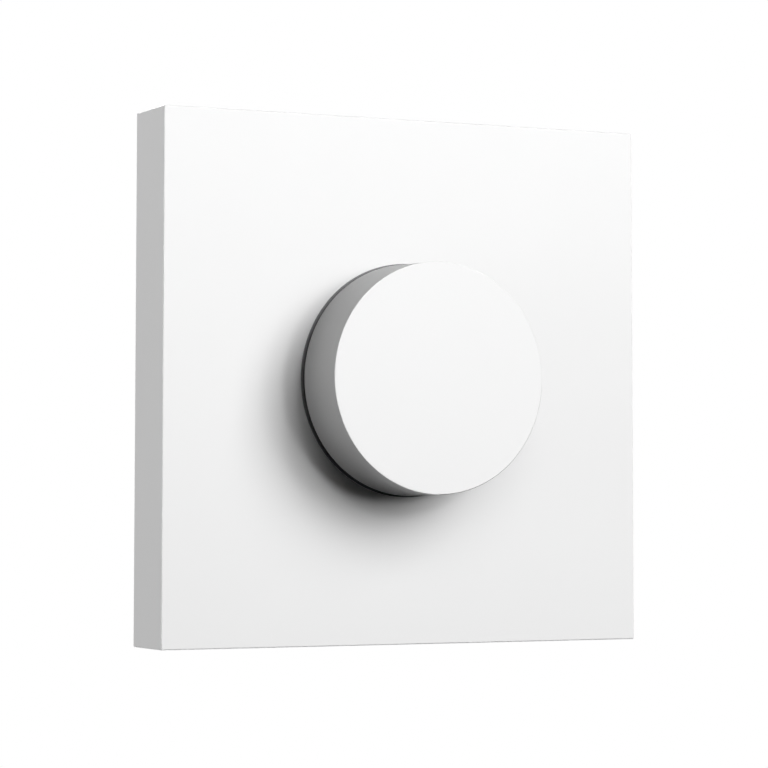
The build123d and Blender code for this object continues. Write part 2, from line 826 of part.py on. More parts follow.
# Rear cover: closes the shell, with the battery opening, hook slots and wells for the wall screws' heads
with BuildPart() as rear_cover:
    with BuildSketch(level(rear_back)):
        Rectangle(rear_side, rear_side)
    extrude(amount=rear_plate)
    with BuildSketch(level(rear_front)):
        with GridLocations(screw_spacing, 0, 2, 1):
            SlotOverall(head_well_length + 2 * well_wall, 2 * (screw_head_half + well_wall))
    extrude(amount=head_well_high + well_roof - rear_front)
    with BuildSketch(level(rear_back)):
        with GridLocations(screw_spacing, 0, 2, 1):
            SlotOverall(head_well_length, 2 * screw_head_half)
    extrude(amount=head_well_high - rear_back, mode=Mode.SUBTRACT)
    # Stiffening frame behind the radio module
    rear_rib_width = hook_spacing_x - hook_width - 2 * (side_play + rear_rib_clear)
    with BuildSketch(level(rear_front)):
        with Locations((0, radio_at)):
            Rectangle(rear_rib_width, rear_rib_length)
            Rectangle(rear_rib_width - 2 * rear_rib, rear_rib_length - 2 * rear_rib, mode=Mode.SUBTRACT)
    extrude(amount=rear_rib_height)
    # Seat and opening of the battery door, with a notch for each lug at the open angle
    with BuildSketch(cell_level(rear_back)):
        Circle(door_seat_r)
    extrude(amount=door_flange + touch, mode=Mode.SUBTRACT)
    with BuildSketch(cell_level(rear_back)):
        Circle(door_hole_r)
        with PolarLocations(door_lug_r / 2, door_lug_count, start_angle=90 + door_open_angle):
            Rectangle(door_lug_r + 2 * loose, door_lug_width + 2 * loose)
    extrude(amount=rear_plate, mode=Mode.SUBTRACT)
    # Stops that the lugs run between
    lug_half_angle = degrees(asin((door_lug_width / 2 + loose) / door_hole_r))
    stop_angle = 360 / door_lug_count - door_open_angle - 2 * lug_half_angle
    with BuildSketch(cell_level(rear_front)):
        for step in range(door_lug_count):
            stop_start = 90 + door_open_angle + lug_half_angle + 360 / door_lug_count * step
            with BuildLine():
                near = CenterArc((0, 0), door_hole_r + touch, stop_start, stop_angle)
                far = CenterArc((0, 0), door_stop_r, stop_start, stop_angle)
                Line(near @ 0, far @ 0)
                Line(near @ 1, far @ 1)
            make_face()
    extrude(amount=door_lug_height)
    # Slots for the bracket's hooks, long enough for the lip to pass before the switch slides down
    hook_slot = hook_post + hook_lip + side_play + loose
    with BuildSketch(level(rear_back)):
        with Locations((0, (hook_post - hook_slot) / 2 + loose)):
            with GridLocations(hook_spacing_x, hook_spacing_z, 2, 2):
                Rectangle(hook_width + 2 * side_play, hook_slot)
    extrude(amount=rear_plate, mode=Mode.SUBTRACT)
    # Pocket for the bracket's latch
    with BuildSketch(level(rear_back)):
        with Locations((0, ridge_at)):
            Rectangle(ridge_width + 2 * side_play, 2 * (ridge_half + side_play))
    extrude(amount=bracket_front + ridge_height + loose - rear_back, mode=Mode.SUBTRACT)
    # Sunk holes for the cover screws
    with BuildSketch(level(rear_back)):
        with GridLocations(2 * cover_screw_at, 2 * cover_screw_at, 2, 2):
            Circle(screw_hole_r)
    extrude(amount=rear_plate, mode=Mode.SUBTRACT)
    with BuildSketch(level(rear_back)):
        with GridLocations(2 * cover_screw_at, 2 * cover_screw_at, 2, 2):
            Circle(screw_head_r + side_play)
    extrude(amount=screw_seat - rear_back, mode=Mode.SUBTRACT)
rear_cover.part.label = "rear_cover"
export_step(rear_cover.part, "parts/rear_cover.step")

# Battery door: a flanged plug with bayonet lugs and a coin slot
with BuildPart() as battery_door:
    with BuildSketch(cell_level(rear_back)):
        Circle(door_flange_r)
    extrude(amount=door_flange)
    with BuildSketch(cell_level(rear_back + door_flange)):
        Circle(door_plug_r)
    extrude(amount=rear_plate - door_flange)
    lug_foot_r = door_plug_r - door_lug_wall
    with BuildSketch(cell_level(rear_front)):
        with PolarLocations((lug_foot_r + door_plug_r) / 2, door_lug_count, start_angle=90):
            Rectangle(door_lug_wall, door_lug_width)
    extrude(amount=lug_high - rear_front)
    with BuildSketch(cell_level(lug_low)):
        with PolarLocations((lug_foot_r + door_lug_r) / 2, door_lug_count, start_angle=90):
            Rectangle(door_lug_r - lug_foot_r, door_lug_width)
    extrude(amount=door_lug_height)
    with BuildSketch(cell_level(rear_back)):
        SlotOverall(coin_slot_length, coin_slot_width)
    extrude(amount=coin_slot_depth, mode=Mode.SUBTRACT)
battery_door.part.label = "battery_door"
export_step(battery_door.part, "parts/battery_door.step")

# Screws that hold the board to the front cover, heads towards the wall
with BuildPart() as board_screws:
    with BuildSketch(level(board_back - board_screw_head)):
        with GridLocations(2 * board_screw_at, 2 * board_screw_at, 2, 2):
            Circle(screw_head_r)
    extrude(amount=board_screw_head)
    with BuildSketch(level(board_back)):
        with GridLocations(2 * board_screw_at, 2 * board_screw_at, 2, 2):
            Circle(screw_r)
    extrude(amount=board_screw_length)
    with BuildSketch(level(board_back - board_screw_head)):
        with GridLocations(2 * board_screw_at, 2 * board_screw_at, 2, 2):
            Rectangle(recess_span, recess_width)
            Rectangle(recess_width, recess_span)
    extrude(amount=recess_depth, mode=Mode.SUBTRACT)
board_screws.part.label = "board_screws"
export_step(board_screws.part, "parts/board_screws.step")

# Screws that hold the rear cover to the front cover, heads sunk in it
with BuildPart() as cover_screws:
    with BuildSketch(level(screw_seat - cover_screw_head)):
        with GridLocations(2 * cover_screw_at, 2 * cover_screw_at, 2, 2):
            Circle(screw_head_r)
    extrude(amount=cover_screw_head)
    with BuildSketch(level(screw_seat)):
        with GridLocations(2 * cover_screw_at, 2 * cover_screw_at, 2, 2):
            Circle(screw_r)
    extrude(amount=cover_screw_length)
    with BuildSketch(level(screw_seat - cover_screw_head)):
        with GridLocations(2 * cover_screw_at, 2 * cover_screw_at, 2, 2):
            Rectangle(recess_span, recess_width)
            Rectangle(recess_width, recess_span)
    extrude(amount=recess_depth, mode=Mode.SUBTRACT)
cover_screws.part.label = "cover_screws"
export_step(cover_screws.part, "parts/cover_screws.step")

# Wall bracket: a plate with screw slots, four hooks and a sprung latch
with BuildPart() as wall_bracket:
    with BuildSketch(level(bracket_back)):
        RectangleRounded(bracket_side, bracket_side, bracket_corner_r)
        with GridLocations(screw_spacing, 0, 2, 1):
            SlotOverall(slot_length, 2 * slot_half, mode=Mode.SUBTRACT)
    extrude(amount=bracket_plate)
    with BuildSketch(level(bracket_back)):
        RectangleRounded(pad_side + 2 * side_play, pad_side + 2 * side_play, pad_corner_r)
    extrude(amount=pad_recess, mode=Mode.SUBTRACT)
    # Pockets in the back, round the pad's recess, that keep the walls even
    core_inner = pad_side / 2 + side_play + core_wall
    core_outer = bracket_side / 2 - core_wall
    core_mid = (core_inner + core_outer) / 2
    side_core_low = slot_half + 2 * core_wall
    side_core_high = bracket_side / 2 - bracket_corner_r
    end_core_low = latch_width / 2 + latch_slit + core_wall
    end_core_high = core_inner - core_wall
    with BuildSketch(level(bracket_back)):
        with GridLocations(2 * core_mid, side_core_low + side_core_high, 2, 2):
            RectangleRounded(core_outer - core_inner, side_core_high - side_core_low, core_corner_r)
        with GridLocations(end_core_low + end_core_high, 2 * core_mid, 2, 2):
            RectangleRounded(end_core_high - end_core_low, core_outer - core_inner, core_corner_r)
    extrude(amount=core_depth, mode=Mode.SUBTRACT)
    with BuildSketch(level(bracket_front)):
        with GridLocations(hook_spacing_x, hook_spacing_z, 2, 2):
            Rectangle(hook_width, hook_post)
    extrude(amount=hook_high - bracket_front)
    with BuildSketch(level(hook_lip_low)):
        with Locations((0, hook_lip / 2)):
            with GridLocations(hook_spacing_x, hook_spacing_z, 2, 2):
                Rectangle(hook_width, hook_post + hook_lip)
    extrude(amount=hook_lip_height)
    # Latch: slit free on both sides, thinned from the back and ending in a ridge above the plate
    latch_mid = (bracket_side - latch_root) / 2
    with BuildSketch(level(bracket_back)):
        with Locations((0, latch_mid)):
            with GridLocations(latch_width + latch_slit, 0, 2, 1):
                Rectangle(latch_slit, latch_root)
    extrude(amount=bracket_plate, mode=Mode.SUBTRACT)
    with BuildSketch(level(bracket_back)):
        with Locations((0, latch_mid)):
            Rectangle(latch_width, latch_root)
    extrude(amount=bracket_plate - latch_sheet, mode=Mode.SUBTRACT)
    with BuildSketch(level(bracket_front - latch_sheet)):
        with Locations((0, ridge_at)):
            Rectangle(latch_width, latch_reach)
    extrude(amount=latch_sheet)
    with BuildSketch(section_z):
        with BuildLine():
            Polyline(
                (ridge_at - ridge_half, bracket_front),
                (ridge_at, bracket_front + ridge_height),
                (ridge_at + ridge_half, bracket_front),
                close=True,
            )
        make_face()
    extrude(amount=ridge_width / 2, both=True)
wall_bracket.part.label = "wall_bracket"
export_step(wall_bracket.part, "parts/wall_bracket.step")

# Adhesive pad in the bracket's recess, its back on the wall plane
with BuildPart() as adhesive_pad:
    with BuildSketch(level(0)):
        RectangleRounded(pad_side, pad_side, pad_corner_r)
    extrude(amount=pad_thickness)
adhesive_pad.part.label = "adhesive_pad"
export_step(adhesive_pad.part, "parts/adhesive_pad.step")
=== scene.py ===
from math import cos, pi, radians, sin

import bmesh
import bpy
from bpy.props import FloatProperty, FloatVectorProperty, PointerProperty
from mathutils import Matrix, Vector


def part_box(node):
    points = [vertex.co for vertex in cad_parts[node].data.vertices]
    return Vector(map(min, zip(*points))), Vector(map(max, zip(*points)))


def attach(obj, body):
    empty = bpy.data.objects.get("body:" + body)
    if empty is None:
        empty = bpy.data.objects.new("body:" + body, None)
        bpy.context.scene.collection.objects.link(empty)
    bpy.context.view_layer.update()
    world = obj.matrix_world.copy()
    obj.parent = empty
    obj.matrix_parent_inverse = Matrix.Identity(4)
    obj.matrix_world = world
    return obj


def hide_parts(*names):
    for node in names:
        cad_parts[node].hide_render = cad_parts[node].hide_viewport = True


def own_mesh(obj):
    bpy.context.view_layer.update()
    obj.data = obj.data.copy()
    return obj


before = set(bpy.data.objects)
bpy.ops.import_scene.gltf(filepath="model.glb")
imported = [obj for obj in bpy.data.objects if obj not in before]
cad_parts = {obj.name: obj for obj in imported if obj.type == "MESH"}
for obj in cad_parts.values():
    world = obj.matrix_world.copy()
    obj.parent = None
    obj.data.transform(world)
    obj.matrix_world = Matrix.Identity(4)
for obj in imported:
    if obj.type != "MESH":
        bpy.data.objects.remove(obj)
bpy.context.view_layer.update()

bl_info = {
    "name": "Rotary wall switch looks",
    "version": (1, 0, 0),
    "blender": (4, 5, 0),
    "location": "3D View > Sidebar > Wall switch",
    "description": "Models and paints the pieces of a rotary wall switch and sets up its studio",
    "category": "Object",
}

# Lengths in metres below which points count as one: in the meshes made here, and in those of the CAD
FINEST = 1e-7
CLOSE = 1e-6

# Edges that turn by more than a crease angle stay crisp, and faces that turn by less than FLAT are one face
CREASE = radians(40)
PAD_CREASE = radians(35)
FLAT = radians(0.5)

# Parts of a unit direction that count as along an axis, as across it and as facing it squarely
ALONG = 0.9
ACROSS = 0.1
FACING = 0.99

# Screw heads: rounding and recess depth as shares of the head's height, the recess's span and width as
# shares of the head's radius, and how far the recess narrows towards its floor
HEAD_ROUNDING = 0.45
RECESS_DEPTH = 0.6
RECESS_SPAN = 1.1
RECESS_WIDTH = 0.26
RECESS_TAPER = 0.55

# Screw shanks: where in the head they start, the thread's root as a share of its outside radius, its facets
# in one turn, the turns wound above the start and those wound in excess, all cut off afterwards
SHANK_START = 0.75
THREAD_ROOT = 0.76
THREAD_STEPS = 24
LEAD_IN = 1.51
SPARE_TURNS = 3

# Thread from one root to the next: where it leaves the root, reaches the crest, leaves the crest and is
# back at the root, as shares of the pitch
THREAD_MARKS = (0.35, 0.62, 0.73, 1.0)

# How far the first screw of a set is turned, and the step by which the others differ, in radians
FIRST_TURN = 0.35
TURN_STEP = 0.7

# Grain of the hidden mouldings as multiples of the front's, and the grain's height as a share of its size
REAR_GRAIN = 1.3
BRACKET_GRAIN = 1.6
EPOXY_GRAIN = 0.6
GRAIN_HEIGHT = 0.05

# Depths of surface marks and the spacing of the board's glass weave in metres, and copper areas per metre
METAL_MARKS = 0.00001
COPPER_HEIGHT = 0.00003
PORE_DEPTH = 0.00006
BOARD_WEAVE = 0.0004
COPPER_AREAS = 150.0

# Noise scales along X, Y and Z, per metre: rolling marks drawn out along X, along Z or not at all
MARKS_ALONG_X = (900, 900, 9000)
MARKS_ALONG_Z = (9000, 900, 900)
SHIELD_MARKS = (700, 700, 7000)
SCREW_MARKS = (1500, 1500, 1500)
COPPER_MARKS = (2000, 2000, 2000)

# Studio lights: name, compass and height angle as seen from the switch in degrees, distance and width
# in metres, power in watts. Those past 90 degrees stand behind the wall plane and light the sides and back.
LIGHTS = (
    ("key", 30, 15, 1.8, 1.0, 8.8),
    ("key_high", 30, 30, 1.8, 1.0, 17.2),
    ("spot", 15, 5, 0.9, 0.1, 0.76),
    ("spot_high", 5, 15, 0.9, 0.1, 0.69),
    ("spot_right", 30, 10, 0.9, 0.1, 0.28),
    ("front_near", -6, 32, 0.35, 0.2, 0.3),
    ("left", -85, 0, 0.9, 0.5, 1.64),
    ("left_rear", -115, -15, 0.9, 0.5, 2.22),
    ("left_far_rear", -130, 10, 0.9, 0.5, 2.19),
    ("rear", 172, 25, 0.9, 0.5, 6.0),
    ("rear_right", 138, 5, 0.9, 0.5, 2.0),
    ("rear_low", 180, -60, 0.28, 0.15, 0.36),
)
LIGHT_AIM = Vector((0, -0.012, 0))


def colour_property(name, description, default):
    """Colour setting in the sidebar."""
    return FloatVectorProperty(
        name=name, description=description, default=default, subtype="COLOR", min=0.0, max=1.0, size=3
    )


def length_property(name, description, default):
    """Length setting in metres in the sidebar."""
    return FloatProperty(
        name=name, description=description, default=default, unit="LENGTH", subtype="DISTANCE", precision=5
    )


class WallSwitchFinish(bpy.types.PropertyGroup):
    """Colours and surface of the switch's materials."""

    plate_white: colour_property("Plate white", "Moulded plastic of the front cover", (0.86, 0.86, 0.86))
    knob_white: colour_property("Knob white", "Moulded plastic of the knob", (0.86, 0.86, 0.86))
    rear_white: colour_property("Rear white", "Plastic of the rear cover and its door", (0.74, 0.74, 0.735))
    bracket_white: colour_property("Bracket white", "Plastic of the wall bracket", (0.68, 0.68, 0.675))
    # The guide ring is a real low-friction ring, but its dark grey is painted shade: it stands in for the
    # shadowed gap under the knob's skirt
    ring_painted_shade: colour_property("Ring painted shade", "Low-friction plastic of the guide ring", (0.2, 0.2, 0.203))
    black: colour_property("Black plastic", "Plastic of the encoder and the holder", (0.012, 0.012, 0.013))
    amber: colour_property("Rotor plastic", "Natural nylon of the rotor and the plunger", (0.32, 0.27, 0.19))
    steel: colour_property("Steel", "Plated sheet and screws", (0.56, 0.56, 0.57))
    cell_steel: colour_property("Cell steel", "Nickel-plated can of the coin cell", (0.63, 0.62, 0.6))
    zinc: colour_property("Zinc", "Cast bushing and turned shaft", (0.5, 0.5, 0.52))
    brass: colour_property("Brass", "Contact strips and pins", (0.62, 0.43, 0.16))
    copper: colour_property("Copper", "Printed antenna", (0.71, 0.36, 0.2))
    lacquer: colour_property("Board lacquer", "Green lacquer of the circuit boards", (0.012, 0.09, 0.045))
    epoxy: colour_property("Epoxy", "Moulded bodies of the small components", (0.03, 0.03, 0.032))
    foam: colour_property("Foam", "Double-sided foam of the adhesive pad", (0.1, 0.1, 0.105))
    grain: length_property("Moulded grain", "Size of the fine grain on the plastic", 0.00022)


class WallSwitchSizes(bpy.types.PropertyGroup):
    """Sizes of the details that are modelled here."""

    bracket_edge: length_property("Bracket edge", "Rounding of the wall bracket's edges", 0.00018)
    rear_edge: length_property("Rear edge", "Rounding of the rear cover's and the door's edges", 0.00012)
    screw_head_r: length_property("Screw head radius", "Radius of the small screws' heads", 0.0018)
    screw_r: length_property("Screw radius", "Outside radius of the small screws' threads", 0.00095)
    cover_screw_head: length_property("Cover screw head", "Height of the cover screws' heads", 0.0008)
    board_screw_head: length_property("Board screw head", "Height of the board screws' heads", 0.0012)
    thread_pitch: length_property("Thread pitch", "Rise of the screws' thread in one turn", 0.00078)
    pad_corner: length_property("Pad corner", "Radius of the foam pad's corners", 0.003)
    pad_edge: length_property("Pad edge", "Rounding of the foam pad's cut edge", 0.00018)
    pad_border: length_property("Pad border", "Width of the border round the pad's sticky faces", 0.0006)
    pad_sink: length_property("Pad sink", "How far the sticky faces lie below that border", 0.00002)
    dome_sheet: length_property("Dome sheet", "Thickness of the switch dome", 0.00012)
    dome_pressed: FloatProperty(
        name="Dome pressed", description="Share of its height that the dome keeps when pressed",
        default=0.24, subtype="FACTOR", min=0.01, max=1.0,
    )


class WallSwitchStudio(bpy.types.PropertyGroup):
    """Camera, light and floor of the studio."""

    lens: FloatProperty(
        name="Lens", description="Focal length in millimetres on the sensor's width", default=141.21
    )
    sensor: FloatProperty(name="Sensor", description="Width of the sensor in millimetres", default=36.0)
    lens_shift: FloatVectorProperty(
        name="Lens shift", description="How far the picture lies off the lens's axis, in picture widths",
        default=(-0.03199, -0.14432), size=2, precision=5,
    )
    camera_place: FloatVectorProperty(
        name="Camera place", description="Where the camera stands", default=(-0.22067, -0.45344, -0.01901),
        unit="LENGTH", subtype="TRANSLATION", size=3, precision=5,
    )
    camera_turn: FloatProperty(
        name="Camera turn", description="How far the camera looks to the right of the wall's normal",
        default=radians(26.593), unit="ROTATION", subtype="ANGLE",
    )
    camera_tilt: FloatProperty(
        name="Camera tilt", description="How far the camera looks up", default=radians(4.2441),
        unit="ROTATION", subtype="ANGLE",
    )
    brightness: FloatProperty(
        name="Brightness", description="Multiplies the power of every light", default=1.0
    )
    floor_level: length_property("Floor level", "Height of the studio floor", -0.3)
    floor_side: length_property("Floor side", "Width of the square studio floor", 2.4)
    floor_white: colour_property("Floor white", "Pale paint of the studio floor", (0.86, 0.86, 0.86))


def blank_material(name):
    """New material with its shader and the coordinates of the piece it is on."""
    material = bpy.data.materials.new(name)
    material.use_nodes = True
    place = material.node_tree.nodes.new("ShaderNodeTexCoord")
    return material, material.node_tree.nodes["Principled BSDF"], place.outputs["Object"]


def add_node(material, kind, **inputs):
    """Adds a node and sets its inputs, given by name with underscores for spaces."""
    node = material.node_tree.nodes.new(kind)
    for name, value in inputs.items():
        node.inputs[name.replace("_", " ")].default_value = value
    return node


def join(material, start, end):
    """Links an output to an input."""
    material.node_tree.links.new(start, end)


def bands(spacing):
    """Scale of a wave texture whose bands lie a spacing apart."""
    return pi / 10 / spacing


def vary(material, source, low, high):
    """Maps a texture's middle range onto a low and a high value."""
    spread = add_node(material, "ShaderNodeMapRange", From_Min=0.3, From_Max=0.7, To_Min=low, To_Max=high)
    join(material, source, spread.inputs["Value"])
    return spread.outputs["Result"]


def tint(material, source, colour, depth):
    """Colour that a texture darkens by up to a depth, or lightens where the depth is below nought."""
    mix = add_node(material, "ShaderNodeMix")
    mix.data_type = "RGBA"
    mix.inputs["A"].default_value = (*colour, 1.0)
    mix.inputs["B"].default_value = (*[level * (1 - depth) for level in colour], 1.0)
    join(material, source, mix.inputs["Factor"])
    return mix.outputs["Result"]


def emboss(material, shader, source, strength, distance):
    """Raises the surface by a texture."""
    bump = add_node(material, "ShaderNodeBump", Strength=strength, Distance=distance)
    join(material, source, bump.inputs["Height"])
    join(material, bump.outputs["Normal"], shader.inputs["Normal"])


def moulded_plastic(name, colour, grain, roughness, relief):
    """Satin moulded plastic: fine spark-eroded grain, faint flow tone and uneven gloss."""
    material, shader, place = blank_material(name)
    fine = add_node(material, "ShaderNodeTexNoise", Scale=1 / grain, Detail=2.0, Roughness=0.6)
    flow = add_node(material, "ShaderNodeTexNoise", Scale=55.0, Detail=3.0, Roughness=0.55)
    for texture in (fine, flow):
        join(material, place, texture.inputs["Vector"])
    join(material, tint(material, flow.outputs["Fac"], colour, depth=0.02), shader.inputs["Base Color"])
    gloss = vary(material, fine.outputs["Fac"], low=roughness - 0.05, high=roughness + 0.05)
    join(material, gloss, shader.inputs["Roughness"])
    emboss(material, shader, fine.outputs["Fac"], strength=relief, distance=grain * GRAIN_HEIGHT)
    shader.inputs["IOR"].default_value = 1.5
    return material


def rolled_metal(name, colour, roughness, stretch):
    """Plated sheet: rolling marks drawn out along one direction, and a slightly cloudy plating."""
    material, shader, place = blank_material(name)
    drawn = add_node(material, "ShaderNodeMapping", Scale=stretch)
    marks = add_node(material, "ShaderNodeTexNoise", Scale=1.0, Detail=3.0, Roughness=0.6)
    cloud = add_node(material, "ShaderNodeTexNoise", Scale=420.0, Detail=2.0)
    join(material, place, drawn.inputs["Vector"])
    join(material, drawn.outputs["Vector"], marks.inputs["Vector"])
    join(material, place, cloud.inputs["Vector"])
    join(material, tint(material, cloud.outputs["Fac"], colour, depth=0.12), shader.inputs["Base Color"])
    gloss = vary(material, marks.outputs["Fac"], low=roughness - 0.08, high=roughness + 0.1)
    join(material, gloss, shader.inputs["Roughness"])
    emboss(material, shader, marks.outputs["Fac"], strength=0.2, distance=METAL_MARKS)
    shader.inputs["Metallic"].default_value = 1.0
    return material


def turned_metal(name, colour, roughness, axis_z, pitch):
    """Turned or spun metal: fine rings round an axis along Y at a height, broken up by noise."""
    material, shader, place = blank_material(name)
    centred = add_node(material, "ShaderNodeMapping", Location=(0, 0, -axis_z))
    rings = add_node(material, "ShaderNodeTexWave", Scale=bands(pitch), Distortion=1.5, Detail=2.0)
    rings.wave_type = "RINGS"
    rings.rings_direction = "Y"
    cloud = add_node(material, "ShaderNodeTexNoise", Scale=300.0, Detail=3.0)
    join(material, place, centred.inputs["Vector"])
    join(material, centred.outputs["Vector"], rings.inputs["Vector"])
    join(material, place, cloud.inputs["Vector"])
    join(material, tint(material, cloud.outputs["Fac"], colour, depth=0.1), shader.inputs["Base Color"])
    gloss = vary(material, rings.outputs["Fac"], low=roughness - 0.06, high=roughness + 0.08)
    join(material, gloss, shader.inputs["Roughness"])
    emboss(material, shader, rings.outputs["Fac"], strength=0.15, distance=METAL_MARKS)
    shader.inputs["Metallic"].default_value = 1.0
    return material


def board_lacquer(name, colour):
    """Glass-fibre board: green lacquer over copper areas with narrow gaps, the weave faintly showing."""
    material, shader, place = blank_material(name)
    flat = add_node(material, "ShaderNodeMapping", Rotation=(pi / 2, 0, 0))
    weave = add_node(material, "ShaderNodeTexWave", Scale=bands(BOARD_WEAVE), Distortion=0.6, Detail=1.0)
    apart = add_node(material, "ShaderNodeMath")
    apart.operation = "SUBTRACT"
    copper = add_node(material, "ShaderNodeMapRange", From_Min=0.03, From_Max=0.06)
    join(material, place, flat.inputs["Vector"])
    join(material, flat.outputs["Vector"], weave.inputs["Vector"])
    for number, feature in enumerate(("F2", "F1")):
        area = add_node(material, "ShaderNodeTexVoronoi", Scale=COPPER_AREAS, Randomness=0.8)
        area.voronoi_dimensions = "2D"
        area.feature = feature
        area.distance = "CHEBYCHEV"
        join(material, flat.outputs["Vector"], area.inputs["Vector"])
        join(material, area.outputs["Distance"], apart.inputs[number])
    join(material, apart.outputs["Value"], copper.inputs["Value"])
    lacquer = tint(material, copper.outputs["Result"], colour, depth=-0.35)
    join(material, lacquer, shader.inputs["Base Color"])
    gloss = vary(material, weave.outputs["Fac"], low=0.2, high=0.32)
    join(material, gloss, shader.inputs["Roughness"])
    emboss(material, shader, copper.outputs["Result"], strength=0.5, distance=COPPER_HEIGHT)
    shader.inputs["Coat Weight"].default_value = 0.4
    return material


def cell_foam(name, colour):
    """Closed-cell foam: small pores of mixed size, dull, with a little tone between them."""
    material, shader, place = blank_material(name)
    pores = add_node(material, "ShaderNodeTexVoronoi", Scale=4200.0)
    clumps = add_node(material, "ShaderNodeTexNoise", Scale=700.0, Detail=4.0)
    for texture in (pores, clumps):
        join(material, place, texture.inputs["Vector"])
    join(material, tint(material, clumps.outputs["Fac"], colour, depth=0.35), shader.inputs["Base Color"])
    gloss = vary(material, pores.outputs["Distance"], low=0.7, high=0.92)
    join(material, gloss, shader.inputs["Roughness"])
    emboss(material, shader, pores.outputs["Distance"], strength=0.7, distance=PORE_DEPTH)
    return material


def floor_paint(name, colour):
    """Pale matt floor that the camera sees evenly lit and that throws no light back onto the switch."""
    material, shader, place = blank_material(name)
    mottle = add_node(material, "ShaderNodeTexNoise", Scale=40.0, Detail=4.0)
    join(material, place, mottle.inputs["Vector"])
    tone = tint(material, mottle.outputs["Fac"], colour, depth=0.02)
    join(material, tone, shader.inputs["Base Color"])
    shader.inputs["Roughness"].default_value = 0.9
    glow = add_node(material, "ShaderNodeEmission")
    join(material, tone, glow.inputs["Color"])
    seen = add_node(material, "ShaderNodeLightPath")
    both = add_node(material, "ShaderNodeMixShader")
    join(material, seen.outputs["Is Camera Ray"], both.inputs["Fac"])
    join(material, shader.outputs["BSDF"], both.inputs[1])
    join(material, glow.outputs["Emission"], both.inputs[2])
    join(material, both.outputs["Shader"], material.node_tree.nodes["Material Output"].inputs["Surface"])
    return material


def paint(material, *nodes):
    """Gives CAD nodes a material."""
    for node in nodes:
        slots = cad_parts[node].data.materials
        slots.clear()
        slots.append(material)


def hand_over(piece, node, body, material):
    """Gives a finished piece its material and the body it moves with, and hides the CAD node it stands for.
    """
    piece.data.materials.clear()
    piece.data.materials.append(material)
    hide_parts(node)
    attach(piece, body)


def open_mesh(context, piece):
    """Makes a piece the only selected one and opens its mesh for editing."""
    if context.mode != "OBJECT":
        bpy.ops.object.mode_set(mode="OBJECT")
    bpy.ops.object.select_all(action="DESELECT")
    piece.select_set(True)
    context.view_layer.objects.active = piece
    bpy.ops.object.mode_set(mode="EDIT")


def pick(piece, kind, test):
    """Selects the faces or edges of the open mesh whose middle and direction pass a test."""
    bpy.ops.mesh.select_mode(type=kind)
    bpy.ops.mesh.select_all(action="DESELECT")
    mesh = bmesh.from_edit_mesh(piece.data)
    for element in mesh.faces if kind == "FACE" else mesh.edges:
        middle = sum((corner.co for corner in element.verts), Vector()) / len(element.verts)
        if kind == "FACE":
            way = element.normal
        else:
            way = (element.verts[1].co - element.verts[0].co).normalized()
        if test(middle, way):
            element.select_set(True)
    mesh.select_flush_mode()
    bmesh.update_edit_mesh(piece.data)


def even_shading(piece):
    """Shades the active piece smoothly, with its flat faces kept flat up to their rounded edges."""
    bpy.ops.object.shade_smooth_by_angle(angle=CREASE)
    flat = piece.modifiers.new("flat", "WEIGHTED_NORMAL")
    flat.keep_sharp = True
    flat.weight = 100
    bpy.ops.object.modifier_apply(modifier=flat.name)


def soft_edged(context, node, name, width):
    """Copy of a moulded node whose sharp edges are rounded off."""
    piece = bpy.data.objects.new(name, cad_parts[node].data.copy())
    context.scene.collection.objects.link(piece)
    open_mesh(context, piece)
    bpy.ops.mesh.select_all(action="SELECT")
    bpy.ops.mesh.remove_doubles(threshold=CLOSE)
    bpy.ops.mesh.customdata_custom_splitnormals_clear()
    bpy.ops.mesh.dissolve_limited(angle_limit=FLAT)
    bpy.ops.object.mode_set(mode="OBJECT")
    edge = piece.modifiers.new("edge", "BEVEL")
    edge.width = width
    edge.segments = 2
    edge.limit_method = "ANGLE"
    edge.angle_limit = CREASE
    edge.miter_outer = "MITER_ARC"
    bpy.ops.object.modifier_apply(modifier=edge.name)
    open_mesh(context, piece)
    bpy.ops.mesh.select_all(action="SELECT")
    bpy.ops.mesh.remove_doubles(threshold=FINEST)
    bpy.ops.mesh.normals_make_consistent(inside=False)
    bpy.ops.object.mode_set(mode="OBJECT")
    even_shading(piece)
    return piece


def combine(context, piece, tool, operation):
    """Adds another piece to a piece, or cuts it out of it, and deletes that other piece."""
    bpy.ops.object.select_all(action="DESELECT")
    context.view_layer.objects.active = piece
    change = piece.modifiers.new("change", "BOOLEAN")
    change.operation = operation
    change.solver = "EXACT"
    change.object = tool
    bpy.ops.object.modifier_apply(modifier=change.name)
    tool.select_set(True)
    bpy.ops.object.delete()


def screw_blank(context, name, head_r, head_height, shank_r, shank_length, pitch):
    """Pan-head screw on the Y axis: its head's top at the origin facing +Y, its shank along -Y."""
    bpy.ops.object.select_all(action="DESELECT")
    bpy.ops.mesh.primitive_cylinder_add(
        vertices=40, radius=head_r, depth=head_height,
        location=(0, -head_height / 2, 0), rotation=(-pi / 2, 0, 0),
    )
    screw = context.active_object
    screw.name = name
    bpy.ops.object.transform_apply(location=True, rotation=True, scale=True)
    open_mesh(context, screw)
    pick(screw, "EDGE", lambda middle, way: middle.y > -CLOSE)
    bpy.ops.mesh.bevel(offset=head_height * HEAD_ROUNDING, segments=5, affect="EDGES")
    bpy.ops.object.mode_set(mode="OBJECT")
    cut_cross(context, screw, head_r, head_height)
    shank = threaded_shank(context, shank_r, shank_length, head_height, pitch)
    combine(context, screw, shank, "UNION")
    screw.select_set(True)
    bpy.ops.object.shade_smooth_by_angle(angle=CREASE)
    return screw


